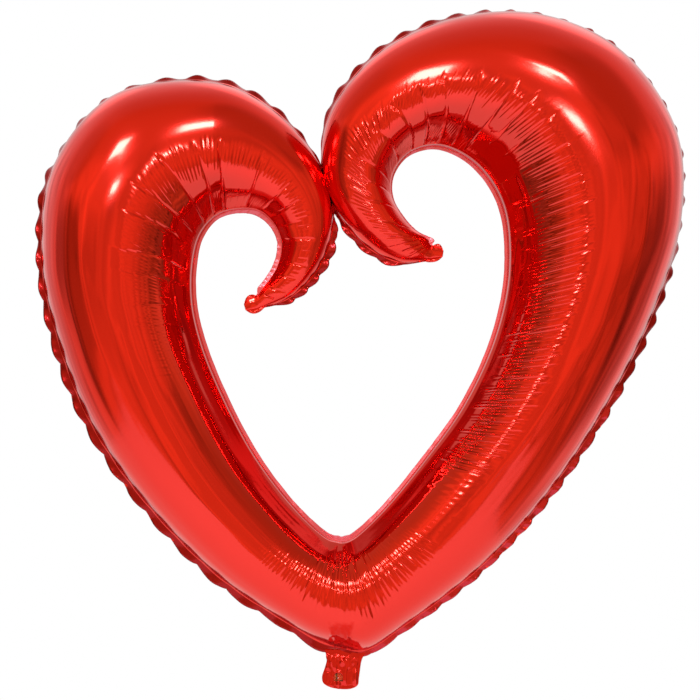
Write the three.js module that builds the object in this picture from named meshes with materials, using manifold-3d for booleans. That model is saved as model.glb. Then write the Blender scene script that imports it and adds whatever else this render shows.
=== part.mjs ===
// Heart-shaped foil balloon with two inward-curling hooks, inflated.
// Millimetres, +X to the right, +Z up, the front faces -Y, and the seam lies in the plane Y = 0.
// The origin is the neck, where the flat tail leaves the bottom point of the heart.

import * as THREE from "three";
import { ParametricGeometry } from "three/addons/geometries/ParametricGeometry.js";
import { mergeVertices } from "three/addons/utils/BufferGeometryUtils.js";
import Module from "manifold-3d";

const wasm = await Module();
wasm.setup();

// ---------------------------------------------------------------- driving dimensions

// Film thickness of the solid stand-ins; the real foil is a few hundredths of a millimetre.
const FILM = 0.8;
const VALVE_FILM = 0.5;

// Half of the gap that parts which are welded face to face keep between them.
const HALF_GAP = 0.15;

// Half of the channel that the valve films run through in the neck and the tail.
const CHANNEL = 1.1;
const CHANNEL_FULL = 30;
const CHANNEL_END = 60;
const NECK_TOP = 60;

// Flat tail below the neck, its fold line, and the rim that welds its two films.
const FOLD_Z = -1;
const TAIL_WIDTH = 49;
const TAIL_TOP = -2.5;
const TAIL_BOTTOM = -46;
const TAIL_CORNER = 9;
const TAIL_RIM = 6;

// Arch-shaped inflation hole in the front film of the tail.
const HOLE_X = -5;
const HOLE_Z = -29;
const HOLE_RADIUS = 6;
const HOLE_FOOT = 5;

// Self-sealing valve: two narrow films, bonded in the tail and the neck and free inside the
// balloon. The free flaps start where the tube is already deep enough for them to swing.
const VALVE_WIDTH = 30;
const VALVE_TIP_WIDTH = 24;
const VALVE_START = 22;
const VALVE_END = 115;
const VALVE_GAP = 0.2;
const NECK_FILM_TOP = 21;
const NECK_FILM_BOTTOM = 2;
const INLET_TOP = -4;
const INLET_BOTTOM = -38;

// Stations along the tube, from the tip of the left hook, down to the neck, and up to the tip
// of the right hook. Each is a cut across the tube: the inner seam (X, Z), the outer seam
// (X, Z), how far the film bulges from the seam plane, and the widths of the two seam flanges.
const STATIONS = [
  [-124, 457, -122, 449, 0.6, 2, 2],
  [-119, 460, -114, 450, 2, 8, 8],
  [-110, 465, -103, 456, 4, 8, 8],
  [-103, 477, -73, 463, 13, 6, 8],
  [-84, 506, -38, 494, 22, 6, 9],
  [-79, 537, -20, 534, 29, 6, 9],
  [-87, 563, -18, 581, 35, 6, 3],
  [-107, 580, -36, 642, 45, 6, 3],
  [-135, 586, -91, 707, 60, 6, 9],
  [-164, 578, -165, 742, 76, 6, 10],
  [-187, 551, -289, 718, 92, 6, 10],
  [-198, 511, -367, 630, 98, 7, 10],
  [-200, 459, -387, 511, 92, 7, 10],
  [-188, 403, -369, 399, 88, 7, 10],
  [-154, 329, -323, 303, 82, 7, 10],
  [-110, 252, -252, 204, 76, 7, 10],
  [-56, 183, -156, 103, 68, 8, 10],
  [-19, 150, -70, 47, 62, 9, 11],
  [-6, 145, -27, 18, 63, 9, 16],
  [0, 144, 0, 9, 63, 9, 7.5],
  [6, 145, 28, 19, 63, 9, 16],
  [18, 151, 75, 51, 62, 9, 11],
  [55, 186, 177, 118, 68, 8, 11],
  [110, 254, 264, 214, 76, 7, 11],
  [161, 327, 342, 332, 86, 7, 10],
  [201, 415, 400, 448, 96, 7, 10],
  [218, 503, 437, 566, 106, 7, 10],
  [209, 588, 433, 682, 110, 7, 10],
  [174, 641, 364, 786, 106, 7, 10],
  [127, 664, 265, 833, 96, 7, 10],
  [88, 658, 156, 823, 84, 7, 10],
  [63, 633, 55, 775, 70, 6, 10],
  [57, 603, -8, 708, 57, 6, 10],
  [65, 578, -15, 646, 48, 6, 3],
  [79, 556, -8, 596, 42, 6, 3],
  [94, 543, 15, 550, 34, 6, 9],
  [105, 537, 49, 525, 24, 6, 9],
  [113, 533, 83, 516, 14, 7, 9],
  [117, 530, 107, 517, 5, 8, 8],
  [122, 530, 118, 521, 2, 8, 8],
  [129, 526, 126, 519, 0.6, 2, 2],
];

// The tube is cut into rows about this far apart on the outer seam, and into steps around.
const ROW_LENGTH = 36;
const ARC_STEPS = 8;

// ---------------------------------------------------------------- materials

const FOIL_RED = new THREE.Color(0.8, 0.03, 0.015);
const VALVE_WHITE = new THREE.Color(0.72, 0.7, 0.68);

function foil() {
  return new THREE.MeshStandardMaterial({ color: FOIL_RED, roughness: 0.14, metalness: 1 });
}

function valveFilm() {
  return new THREE.MeshStandardMaterial({ color: VALVE_WHITE, roughness: 0.35, metalness: 0 });
}

// ---------------------------------------------------------------- helpers

function named(name, geometry, material) {
  const mesh = new THREE.Mesh(geometry, material);
  mesh.name = name;
  return mesh;
}

// Drops the triangles that have no area, where a closed surface runs to an edge.
function withoutSlivers(geometry) {
  const kept = [];
  const index = geometry.index;
  for (let i = 0; i < index.count; i += 3) {
    const corners = [index.getX(i), index.getX(i + 1), index.getX(i + 2)];
    if (new Set(corners).size === 3) kept.push(...corners);
  }
  geometry.setIndex(kept);
  return geometry;
}

function welded(geometry) {
  const bare = geometry.clone();
  bare.deleteAttribute("normal");
  bare.deleteAttribute("uv");
  return withoutSlivers(mergeVertices(bare, 1e-4));
}

function toManifold(geometry) {
  const solid = welded(geometry);
  const mesh = new wasm.Mesh({
    numProp: 3,
    vertProperties: new Float32Array(solid.attributes.position.array),
    triVerts: new Uint32Array(solid.index.array),
  });
  return new wasm.Manifold(mesh);
}

function fromManifold(manifold) {
  const mesh = manifold.getMesh();
  const geometry = new THREE.BufferGeometry();
  const places = new Float32Array(mesh.vertProperties);
  geometry.setAttribute("position", new THREE.BufferAttribute(places, 3));
  geometry.setIndex(Array.from(mesh.triVerts));
  geometry.computeVertexNormals();
  return geometry;
}

// A flat film of an outline in X and Z, lying between two distances from the seam plane.
// side is -1 for the front and +1 for the rear.
function flatFilm(outline, side, from, to) {
  const geometry = new THREE.ExtrudeGeometry(outline, {
    depth: to - from,
    bevelEnabled: false,
    curveSegments: 6,
  });
  geometry.rotateX(Math.PI / 2);
  geometry.translate(0, side < 0 ? -from : to, 0);
  return geometry;
}

// ---------------------------------------------------------------- inflated tube

const alongSeam = (x, z) => new THREE.Vector3(x, 0, z);
const innerSeam = new THREE.CatmullRomCurve3(STATIONS.map((s) => alongSeam(s[0], s[1])));
const outerSeam = new THREE.CatmullRomCurve3(STATIONS.map((s) => alongSeam(s[2], s[3])));

// The bulge and the two flange widths, smoothed along the tube in the same way as the seams.
const sizes = new THREE.CatmullRomCurve3(
  STATIONS.map((s) => new THREE.Vector3(s[4], s[5], s[6])), false, "catmullrom", 0.5);

// The two panels open around the valve at the neck; elsewhere they meet at the seam plane.
function seamLift(outer) {
  if (outer.z > NECK_TOP) return HALF_GAP;
  const closing = THREE.MathUtils.smoothstep(Math.abs(outer.x), CHANNEL_FULL, CHANNEL_END);
  return THREE.MathUtils.lerp(CHANNEL, HALF_GAP, closing);
}

// Where the rows lie along the seam curves, from 0 to 1: evenly between two stations, and as
// many as the outer seam's length there asks for.
function rowPlaces() {
  const spans = STATIONS.length - 1;
  const places = [];
  for (let span = 0; span < spans; span++) {
    const start = outerSeam.points[span];
    const rows = Math.max(1, Math.round(start.distanceTo(outerSeam.points[span + 1]) / ROW_LENGTH));
    for (let row = 0; row < rows; row++) places.push((span + row / rows) / spans);
  }
  places.push(1);
  return places;
}

// One cut across a panel, as a closed loop of [distance from the tube's middle towards the
// outer seam, height from the seam plane]: over the outside, and back along the inside.
function panelLoop(half, bulge, innerFlange, outerFlange, lift, film) {
  const loop = [];
  const over = (wall, height) => {
    const row = [[-half - innerFlange, height]];
    for (let i = 0; i <= ARC_STEPS; i++) {
      const angle = Math.PI * (1 - i / ARC_STEPS);
      row.push([(half - wall) * Math.cos(angle), height + bulge * Math.sin(angle)]);
    }
    row.push([half + outerFlange, height]);
    return row;
  };
  loop.push(...over(0, lift + film));
  loop.push(...over(film, lift).reverse());
  return loop;
}

function foilPanel(side) {
  const points = 2 * (ARC_STEPS + 3);
  const rows = rowPlaces();
  const last = rows.length - 1;
  const middle = new THREE.Vector3();
  const across = new THREE.Vector3();
  const place = (u, v, target) => {
    const row = Math.round(v * last);
    const inner = innerSeam.getPoint(rows[row]);
    const outer = outerSeam.getPoint(rows[row]);
    const size = sizes.getPoint(rows[row]);
    across.subVectors(outer, inner);
    const half = across.length() / 2;
    across.normalize();
    middle.addVectors(inner, outer).multiplyScalar(0.5);
    const film = row === 0 || row === last ? 0 : FILM;
    const loop = panelLoop(half, size.x, size.y, size.z, seamLift(outer), film);
    const step = Math.round(u * points) % points;
    const [along, height] = loop[side < 0 ? step : (points - step) % points];
    target.copy(middle).addScaledVector(across, along);
    target.y = side * height;
  };
  const surface = welded(new ParametricGeometry(place, points, last));
  surface.computeVertexNormals();
  return surface;
}

// ---------------------------------------------------------------- tail

// The tail's outline, drawn in by inset on its sides and foot.
function tailOutline(inset, top) {
  const half = TAIL_WIDTH / 2 - inset;
  const foot = TAIL_BOTTOM + inset;
  const corner = TAIL_CORNER - inset / 2;
  const outline = new THREE.Shape();
  outline.moveTo(-half, top);
  outline.lineTo(-half, foot + corner);
  outline.absarc(-half + corner, foot + corner, corner, Math.PI, 1.5 * Math.PI, false);
  outline.absarc(half - corner, foot + corner, corner, 1.5 * Math.PI, 2 * Math.PI, false);
  outline.lineTo(half, top);
  outline.closePath();
  return outline;
}

function archOutline() {
  const arch = new THREE.Shape();
  arch.moveTo(HOLE_X - HOLE_RADIUS, HOLE_Z - HOLE_FOOT);
  arch.lineTo(HOLE_X + HOLE_RADIUS, HOLE_Z - HOLE_FOOT);
  arch.lineTo(HOLE_X + HOLE_RADIUS, HOLE_Z);
  arch.absarc(HOLE_X, HOLE_Z, HOLE_RADIUS, 0, Math.PI, false);
  arch.closePath();
  return arch;
}

// The cutter for the inflation hole, through both films on the front side.
function holeCutter() {
  return toManifold(flatFilm(archOutline(), -1, -FILM, CHANNEL + 2 * FILM));
}

function tailFilm(side) {
  const film = toManifold(flatFilm(tailOutline(0, TAIL_TOP), side, CHANNEL, CHANNEL + FILM));
  const pad = toManifold(flatFilm(tailOutline(0, TAIL_TOP), side, HALF_GAP, CHANNEL));
  const channel = toManifold(flatFilm(tailOutline(TAIL_RIM, TAIL_TOP + FILM), side, 0, CHANNEL));
  const whole = film.add(pad.subtract(channel));
  return fromManifold(side < 0 ? whole.subtract(holeCutter()) : whole);
}

// ---------------------------------------------------------------- valve

function stripOutline(bottom, bottomWidth, top, topWidth) {
  const strip = new THREE.Shape();
  strip.moveTo(-bottomWidth / 2, bottom);
  strip.lineTo(bottomWidth / 2, bottom);
  strip.lineTo(topWidth / 2, top);
  strip.lineTo(-topWidth / 2, top);
  strip.closePath();
  return strip;
}

function valveInlet(side) {
  const outline = stripOutline(INLET_BOTTOM, VALVE_WIDTH, INLET_TOP, VALVE_WIDTH);
  const film = toManifold(flatFilm(outline, side, VALVE_GAP, VALVE_GAP + VALVE_FILM));
  return fromManifold(side < 0 ? film.subtract(holeCutter()) : film);
}

function valveNeck(side) {
  const outline = stripOutline(NECK_FILM_BOTTOM, VALVE_WIDTH, NECK_FILM_TOP, VALVE_WIDTH);
  return flatFilm(outline, side, VALVE_GAP, VALVE_GAP + VALVE_FILM);
}

function valveFlap(side) {
  const outline = stripOutline(VALVE_START, VALVE_WIDTH, VALVE_END, VALVE_TIP_WIDTH);
  return flatFilm(outline, side, VALVE_GAP, VALVE_GAP + VALVE_FILM);
}

// ---------------------------------------------------------------- assembly

const FRONT = -1;
const REAR = 1;

const envelope = new THREE.Group();
envelope.add(named("front_foil_panel", foilPanel(FRONT), foil()));
envelope.add(named("rear_foil_panel", foilPanel(REAR), foil()));
envelope.add(named("valve_neck_front", valveNeck(FRONT), valveFilm()));
envelope.add(named("valve_neck_rear", valveNeck(REAR), valveFilm()));

// The tail hangs from the fold line, and its pieces keep their places in the common frame.
const tail = new THREE.Group();
tail.position.z = FOLD_Z;
const tailPieces = [
  named("tail_front_film", tailFilm(FRONT), foil()),
  named("tail_rear_film", tailFilm(REAR), foil()),
  named("valve_inlet_front", valveInlet(FRONT), valveFilm()),
  named("valve_inlet_rear", valveInlet(REAR), valveFilm()),
];
for (const piece of tailPieces) {
  piece.position.z = -FOLD_Z;
  tail.add(piece);
}

const valve = new THREE.Group();
valve.add(named("valve_front_film", valveFlap(FRONT), valveFilm()));
valve.add(named("valve_rear_film", valveFlap(REAR), valveFilm()));

const group = new THREE.Group();
group.add(envelope, tail, valve);

export default group;
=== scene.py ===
"""Heart-shaped foil balloon: the visible pieces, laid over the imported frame, with studio light.

Metres, +X to the right, +Z up, the front faces -Y. The seam lies in the plane Y = 0 and the
origin is the neck. Sizes along the tube are given in millimetres and turned into metres by MM.
"""
import math

import bpy
import numpy as np
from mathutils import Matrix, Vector


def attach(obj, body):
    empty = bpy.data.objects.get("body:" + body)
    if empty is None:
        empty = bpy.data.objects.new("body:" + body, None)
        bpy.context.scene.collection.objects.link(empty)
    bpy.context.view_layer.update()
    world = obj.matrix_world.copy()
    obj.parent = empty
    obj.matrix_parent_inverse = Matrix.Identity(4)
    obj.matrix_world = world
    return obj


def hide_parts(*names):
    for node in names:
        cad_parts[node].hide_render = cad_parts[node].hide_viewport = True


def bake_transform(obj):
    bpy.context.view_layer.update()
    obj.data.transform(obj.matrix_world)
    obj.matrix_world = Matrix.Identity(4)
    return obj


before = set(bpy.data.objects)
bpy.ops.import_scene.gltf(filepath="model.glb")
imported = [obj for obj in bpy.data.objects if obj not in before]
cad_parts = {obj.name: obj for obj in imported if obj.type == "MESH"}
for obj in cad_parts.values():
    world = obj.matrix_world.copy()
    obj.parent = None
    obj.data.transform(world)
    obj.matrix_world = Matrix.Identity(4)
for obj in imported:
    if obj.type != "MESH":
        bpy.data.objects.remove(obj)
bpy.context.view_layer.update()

MM = 0.001
FRONT = -1
REAR = 1
SIDE_NAMES = {FRONT: "front", REAR: "rear"}

# ------------------------------------------------------------------ the tube's stations

# Cuts across the tube, from the tip of the left hook, down to the neck, and up to the tip of
# the right hook: inner seam X, Z, outer seam X, Z, bulge, and the widths of the inner and outer
# seam flange.
STATIONS = np.array([
    [-127.5, 455.5, -125.5, 448.5, 0.6, 1, 1],
    [-121.5, 461, -117.5, 449, 2, 8, 8],
    [-112, 465.5, -104.5, 452, 4, 6, 6],
    [-103, 477, -71, 463, 13, 4.5, 10],
    [-84, 506, -36.8, 494.8, 22, 4.5, 11],
    [-79, 537, -17, 533.8, 29, 4.5, 11],
    [-89.8, 561.3, -12.2, 583.1, 35, 5, 3],
    [-109, 577, -32.7, 644.4, 45, 6, 3],
    [-137, 578.6, -90.4, 709.4, 60, 4, 9],
    [-163.2, 569.8, -165, 744.4, 76, 4, 10],
    [-183.4, 545.5, -297, 728, 92, 4, 5],
    [-192.7, 507.8, -375, 635.5, 98, 4, 12],
    [-193, 457.5, -389.5, 511.7, 92, 4, 9],
    [-180.8, 403.8, -365, 399.1, 88, 4, 13],
    [-150.3, 329.6, -326, 302.5, 82, 4, 13],
    [-108.4, 252.6, -256.5, 201, 76, 4, 13],
    [-54.7, 184.1, -158.6, 101.8, 68, 4, 13],
    [-18.1, 151.8, -71.8, 43.4, 62, 6, 11],
    [-5.8, 148.2, -27, 18, 63, 7, 13.5],
    [0, 147.2, 0, 9, 63, 7, 7.5],
    [5.6, 148.2, 30, 7.1, 63, 7, 9],
    [16.5, 153.6, 81.5, 39.7, 62, 6, 9],
    [52.6, 187.8, 180.5, 116.1, 68, 4, 10],
    [107.2, 254.2, 267.5, 211.5, 76, 4, 11],
    [158.2, 326.3, 346.8, 331, 86, 4, 13],
    [198.3, 414.6, 405.5, 450, 96, 4, 12],
    [215.4, 502.3, 441, 567.1, 106, 4, 10],
    [206.5, 587, 434.3, 682.5, 110, 4, 5],
    [171.1, 638.8, 363.2, 785.4, 106, 4, 5],
    [124.7, 661.1, 263.6, 831.6, 96, 4, 5],
    [87.5, 652.2, 157, 830.5, 84, 4, 10],
    [66.8, 626.2, 54.7, 788, 70, 4, 10],
    [64.3, 598.5, -11, 714, 57, 4, 10],
    [75.8, 574.2, -26.4, 656.1, 48, 4, 3],
    [92.2, 554.2, -18.7, 600.5, 42, 4, 3],
    [106, 544.6, 11.5, 552, 34, 5, 11],
    [112, 540, 42.3, 524.6, 24, 5, 12],
    [114.5, 534, 77.2, 510.5, 14, 6, 12],
    [118, 531, 110, 513, 5, 6, 6],
    [125.5, 529, 122.5, 516.5, 2, 8, 8],
    [132, 525, 131, 518, 0.6, 1, 1],
], dtype=float)
LAST_STATION = len(STATIONS) - 1

# Half of the gap at the seam, and of the channel that the valve runs through at the neck; how far
# to either side the channel is full and where it ends; and the height below which a seam is at
# the neck.
HALF_GAP = 0.15
CHANNEL = 1.1
CHANNEL_FULL = 30
CHANNEL_END = 60
NECK_TOP = 60

# Film thickness on the seam flanges, and how deep the hidden inner layer lies in the tube.
FILM = 0.25
INNER_LAYER = 1.6

# Places along the tube, as station numbers, and the row spacing from each one on; the samples
# that the rows are spaced by; and the columns of the tube and of each flange.
ROW_ZONES = [(0, 0.8), (3, 1.2), (13.5, 3.2), (15.8, 1.2), (22, 2.4), (23, 1.15), (33, 1.0)]
ROW_SAMPLES = 8001
BODY_COLUMNS = 76
FLANGE_COLUMNS = 5


# ------------------------------------------------------------------ numeric helpers

# How many knots the noise functions draw, and how far along its knots a noise line starts.
LINE_KNOTS = 4096
LINE_START = 1000
FIELD_KNOTS = 512


def smoothstep(x, low, high):
    """0 below low, 1 above high, and a soft rise between them."""
    t = np.clip((x - low) / (high - low), 0, 1)
    return t * t * (3 - 2 * t)


def window(x, low, high, soft):
    """1 between low and high, falling to 0 over soft on either side."""
    return smoothstep(x, low - soft, low) * (1 - smoothstep(x, high, high + soft))


def between(places, knots):
    """Value at each row from a short list of (place, value) knots."""
    x, y = zip(*knots)
    return np.interp(places, x, y)


def catmull_rom(points, places, power):
    """Smooth curve through points at station places; power 0.5 is centripetal, 0 uniform."""
    ends = [2 * points[0] - points[1], 2 * points[-1] - points[-2]]
    padded = np.vstack([ends[0], points, ends[1]])
    index = np.clip(np.floor(places).astype(int), 0, len(points) - 2)
    f = (places - index)[:, None]
    p0, p1, p2, p3 = (padded[index + k] for k in range(4))

    def gap(a, b):
        return np.maximum(np.linalg.norm(b - a, axis=1) ** power, 1e-4)[:, None]

    d0, d1, d2 = gap(p0, p1), gap(p1, p2), gap(p2, p3)
    t1 = ((p1 - p0) / d0 - (p2 - p0) / (d0 + d1) + (p2 - p1) / d1) * d1
    t2 = ((p2 - p1) / d1 - (p3 - p1) / (d1 + d2) + (p3 - p2) / d2) * d1
    return p1 + t1 * f + (3 * (p2 - p1) - 2 * t1 - t2) * f ** 2 + (2 * (p1 - p2) + t1 + t2) * f ** 3


def seams(places):
    """Inner seam, outer seam (X, Z) and the three sizes at station places, in millimetres."""
    inner = catmull_rom(STATIONS[:, 0:2], places, 0.5)
    outer = catmull_rom(STATIONS[:, 2:4], places, 0.5)
    sizes = catmull_rom(STATIONS[:, 4:7], places, 0.0)
    return inner, outer, sizes


def noise_line(x, pitch, seed):
    """Smooth random wave between -1 and 1 along x, with knots a pitch apart."""
    rng = np.random.default_rng(seed)
    knots = rng.uniform(-1, 1, LINE_KNOTS)
    t = x / pitch + LINE_START
    i = np.floor(t).astype(int)
    f = t - i
    f = f * f * (3 - 2 * f)
    return knots[i % LINE_KNOTS] * (1 - f) + knots[(i + 1) % LINE_KNOTS] * f


def noise_field(x, y, seed):
    """Smooth random field between -1 and 1, with knots at whole numbers of x and y."""
    rng = np.random.default_rng(seed)
    knots = rng.uniform(-1, 1, (FIELD_KNOTS, FIELD_KNOTS))
    i, j = np.floor(x).astype(int), np.floor(y).astype(int)
    fx, fy = x - i, y - j
    fx = fx * fx * (3 - 2 * fx)
    fy = fy * fy * (3 - 2 * fy)
    i0, i1 = i % FIELD_KNOTS, (i + 1) % FIELD_KNOTS
    j0, j1 = j % FIELD_KNOTS, (j + 1) % FIELD_KNOTS
    a = knots[i0, j0] * (1 - fx) + knots[i1, j0] * fx
    b = knots[i0, j1] * (1 - fx) + knots[i1, j1] * fx
    return a * (1 - fy) + b * fy


# ------------------------------------------------------------------ rows and columns

def row_places():
    """Station places of the rows, spaced along the tube's middle as ROW_ZONES asks."""
    fine = np.linspace(0, LAST_STATION, ROW_SAMPLES)
    inner, outer, _ = seams(fine)
    middle = (inner + outer) / 2
    steps = np.linalg.norm(np.diff(middle, axis=0), axis=1)
    starts = np.array([zone[0] for zone in ROW_ZONES], dtype=float)
    spacing = np.array([zone[1] for zone in ROW_ZONES])
    wanted = spacing[np.searchsorted(starts, fine[1:], side="right") - 1]
    count = np.concatenate([[0], np.cumsum(steps / wanted)])
    rows = 2 * int(round(count[-1] / 2))
    return np.interp(np.linspace(0, count[-1], rows + 1), count, fine)


def column_angles():
    """Angles around the tube, 0 at the inner seam and pi at the outer, closer on the inner side."""
    t = np.linspace(0, 1, BODY_COLUMNS + 1)
    return math.pi * (0.72 * t + 0.28 * t ** 2.2)


PLACES = row_places()
ANGLES = column_angles()
INNER, OUTER, SIZES = seams(PLACES)
HALF = np.linalg.norm(OUTER - INNER, axis=1) / 2
ACROSS = (OUTER - INNER) / (2 * HALF)[:, None]
MIDDLE = (OUTER + INNER) / 2
LENGTH = np.concatenate([[0], np.cumsum(np.linalg.norm(np.diff(MIDDLE, axis=0), axis=1))])

# How far each column lies across the front view, 0 at the inner seam and 1 at the outer.
SHARE = (1 - np.cos(ANGLES)) / 2

# The flat round knob that ends each hook: its radius, the distances from its end over which it
# fades into the tube, the height of its bead and where that fades, and how far its flange keeps
# the material of the tube.
KNOB_RADIUS = 12.8
KNOB_FADE = (21, 25)
KNOB_BEAD = 1.5
KNOB_BEAD_FADE = (19, 25)
KNOB_LENGTH = 24

# The flange is narrow beside a knob and widens over these distances from the tube's end.
FLANGE_START = 0.2
FLANGE_WIDENS = (22, 42)


def knob(distance):
    """Half width of the knob, by distance from its end."""
    circle = np.sqrt(np.maximum(KNOB_RADIUS ** 2 - (distance - KNOB_RADIUS) ** 2, 1))
    return circle * (1 - smoothstep(distance, *KNOB_FADE))


# ------------------------------------------------------------------ wrinkles of the film

# Long creases on the inner half: place and share at the inner end, then at the outer end, depth.
CREASES = [
    (2.6, 0.25, 2.7, 0.75, 0.6),
    (3.1, 0.20, 3.2, 0.80, 0.7),
    (3.65, 0.22, 3.7, 0.70, 0.7),
    (4.2, 0.20, 4.2, 0.75, 0.5),
    (5.1, 0.08, 5.12, 0.72, 0.9),
    (5.75, 0.15, 5.8, 0.60, 0.5),
    (6.33, 0.12, 6.44, 0.55, 1.08),
    (6.87, 0.15, 6.95, 0.55, 0.96),
    (7.63, 0.04, 7.8, 0.55, 1.32),
    (8.59, 0.03, 8.92, 0.55, 1.44),
    (9.08, 0.04, 9.3, 0.50, 1.32),
    (9.58, 0.05, 9.92, 0.55, 1.44),
    (10.16, 0.07, 10.52, 0.54, 1.2),
    (10.62, 0.16, 10.94, 0.50, 0.96),
    (11.26, 0.18, 11.5, 0.44, 0.6),
    (11.66, 0.18, 11.8, 0.40, 0.5),
    (12.2, 0.20, 12.3, 0.38, 0.4),
    (17.66, 0.16, 17.84, 0.66, 0.9),
    (18.25, 0.14, 18.3, 0.62, 0.7),
    (18.7, 0.12, 18.72, 0.50, 0.5),
    (19.15, 0.12, 19.15, 0.62, 0.7),
    (19.6, 0.12, 19.55, 0.50, 0.5),
    (20.3, 0.16, 20.25, 0.60, 0.7),
    (20.85, 0.20, 20.92, 0.64, 0.6),
    (26.9, 0.16, 26.95, 0.44, 0.5),
    (27.35, 0.18, 27.4, 0.46, 0.6),
    (27.75, 0.16, 27.85, 0.50, 0.8),
    (28.12, 0.16, 28.26, 0.52, 1.25),
    (28.4, 0.10, 28.64, 0.54, 1.38),
    (28.72, 0.06, 29.3, 0.54, 1.5),
    (29.08, 0.04, 29.94, 0.54, 1.5),
    (29.53, 0.04, 30.46, 0.54, 1.5),
    (29.94, 0.03, 31.02, 0.54, 1.38),
    (30.68, 0.06, 31.62, 0.54, 1.12),
    (31.7, 0.12, 32.42, 0.54, 1.12),
    (32.26, 0.12, 33.28, 0.60, 0.8),
    (33.1, 0.15, 33.88, 0.60, 0.7),
    (34.2, 0.15, 34.5, 0.62, 0.6),
    (35.3, 0.18, 35.4, 0.65, 0.5),
    (35.9, 0.20, 36.0, 0.75, 0.7),
    (36.5, 0.22, 36.5, 0.70, 0.6),
    (37.1, 0.25, 37.0, 0.75, 0.5),
]


def row_distances(grid):
    """How far each point lies along its own column's line, in millimetres."""
    steps = np.linalg.norm(np.diff(grid, axis=0), axis=2)
    return np.vstack([np.zeros(grid.shape[1]), np.cumsum(steps, axis=0)])


def crease_centre(along, start, near, end, far):
    """Where a long crease crosses each column, measured along that column's line."""
    share = np.clip((SHARE - near) / (far - near), 0, 1)
    places = start + (end - start) * share
    return np.array([np.interp(places[c], PLACES, along[:, c]) for c in range(len(places))])


def crease_lines(along):
    """Valleys of the long creases, with the film flat and a little proud between them."""
    height = np.zeros_like(along)
    for start, near, end, far, depth in CREASES:
        distance = np.abs(along - crease_centre(along, start, near, end, far))
        taper = window(SHARE, near + 0.03, far - 0.08, 0.08)
        valley = depth * np.exp(-(distance / 1.3) ** 2) + 0.5 * depth * np.exp(-distance / 5)
        height -= valley * taper
    return height


# How far the facets stand out along the tube, in millimetres.
FACET = between(PLACES, [(3, 0), (4, 1), (6, 1.8), (10, 1.8), (12, .8), (14, 0), (17, 0), (18, .8),
                         (20, .8), (21.5, 0), (26, 0), (27.5, 1.6), (31, 1.9), (33, 1.3), (36, 0)])


def facets(along, seed):
    """Each panel of film between two long creases has a tilt of its own."""
    rng = np.random.default_rng(seed)
    height = np.zeros_like(along)
    tilt = 0.0
    for start, near, end, far, _ in CREASES:
        centre = crease_centre(along, start, near, end, far)
        change = rng.uniform(-1.0, 1.0) - tilt
        tilt += change
        height += change * smoothstep(along - centre, -2.0, 2.0)
    across = np.sin(2 * math.pi * np.clip((SHARE - 0.03) / 0.49, 0, 1)) * (1 - SHARE)
    return height * FACET[:, None] * across[None, :]


# Long ridges that run with the tube: first and last place, share across at both, height, width.
RIDGES = [
    (23.0, 28.6, 0.40, 0.42, 1.3, 3.5),
    (23.2, 27.4, 0.16, 0.13, 0.9, 2.5),
    (10.8, 13.2, 0.14, 0.11, 0.8, 2.5),
    (11.4, 14.0, 0.44, 0.47, 0.6, 5.0),
    (26.3, 28.8, 0.70, 0.78, 0.5, 9.0),
    (24.0, 27.4, 0.60, 0.72, 0.5, 7.0),
    (12.0, 15.4, 0.66, 0.62, 0.5, 6.0),
    (12.6, 16.6, 0.51, 0.53, 0.9, 3.5),
    (13.2, 16.8, 0.43, 0.47, 0.8, 3.0),
    (12.2, 15.8, 0.58, 0.57, 0.8, 3.5),
    (13.6, 16.9, 0.34, 0.39, 0.6, 3.0),
    (10.8, 13.6, 0.74, 0.68, 0.8, 4.0),
    (26.2, 29.4, 0.60, 0.68, 0.7, 3.5),
    (24.2, 27.0, 0.69, 0.80, 0.9, 3.5),
    (23.2, 25.8, 0.60, 0.72, 0.9, 3.0),
    (22.4, 24.8, 0.50, 0.60, 0.8, 3.0),
]


def ridges(seed):
    """Long soft ridges that run with the tube."""
    height = np.zeros((len(PLACES), len(SHARE)))
    around = ANGLES[None, :] * (HALF + SIZES[:, 0])[:, None] / 2
    for k, (first, last, near, far, rise, width) in enumerate(RIDGES):
        share = np.clip(between(PLACES, [(first, near), (last, far)]), 0.01, 0.99)
        angle = np.arccos(1 - 2 * share)
        line = angle * (HALF + SIZES[:, 0]) / 2 + 1.2 * noise_line(LENGTH, 30, seed + k)
        fade = window(PLACES, first + 0.3, last - 0.3, 0.4)
        distance = around - line[:, None]
        height += rise * fade[:, None] * np.exp(-np.abs(distance) / width)
    return height


def fringe(length, low, high, pitch, depth, seed):
    """Fine parallel crinkles between two shares across, each with its own ends and depth."""
    rng = np.random.default_rng(seed)
    phase = length / pitch + 0.35 * noise_line(length, 4 * pitch, seed + 1)
    count = int(phase.max()) + 3
    ridge = np.floor(phase).astype(int)
    x = phase - ridge
    starts = low[:, None] + 0.05 * rng.uniform(-1, 1, count)[ridge][:, None]
    ends = high[:, None] + 0.05 * rng.uniform(-1, 1, count)[ridge][:, None]
    sizes = (0.35 + 0.65 * rng.uniform(0, 1, count))[ridge][:, None]
    valley = np.sin(math.pi * x)[:, None] ** 2
    share = SHARE[None, :]
    reach = smoothstep(share, starts - 0.05, starts + 0.04)
    reach = reach * (1 - smoothstep(share, ends - 0.06, ends + 0.05))
    return -depth[:, None] * sizes * valley * reach


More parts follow.
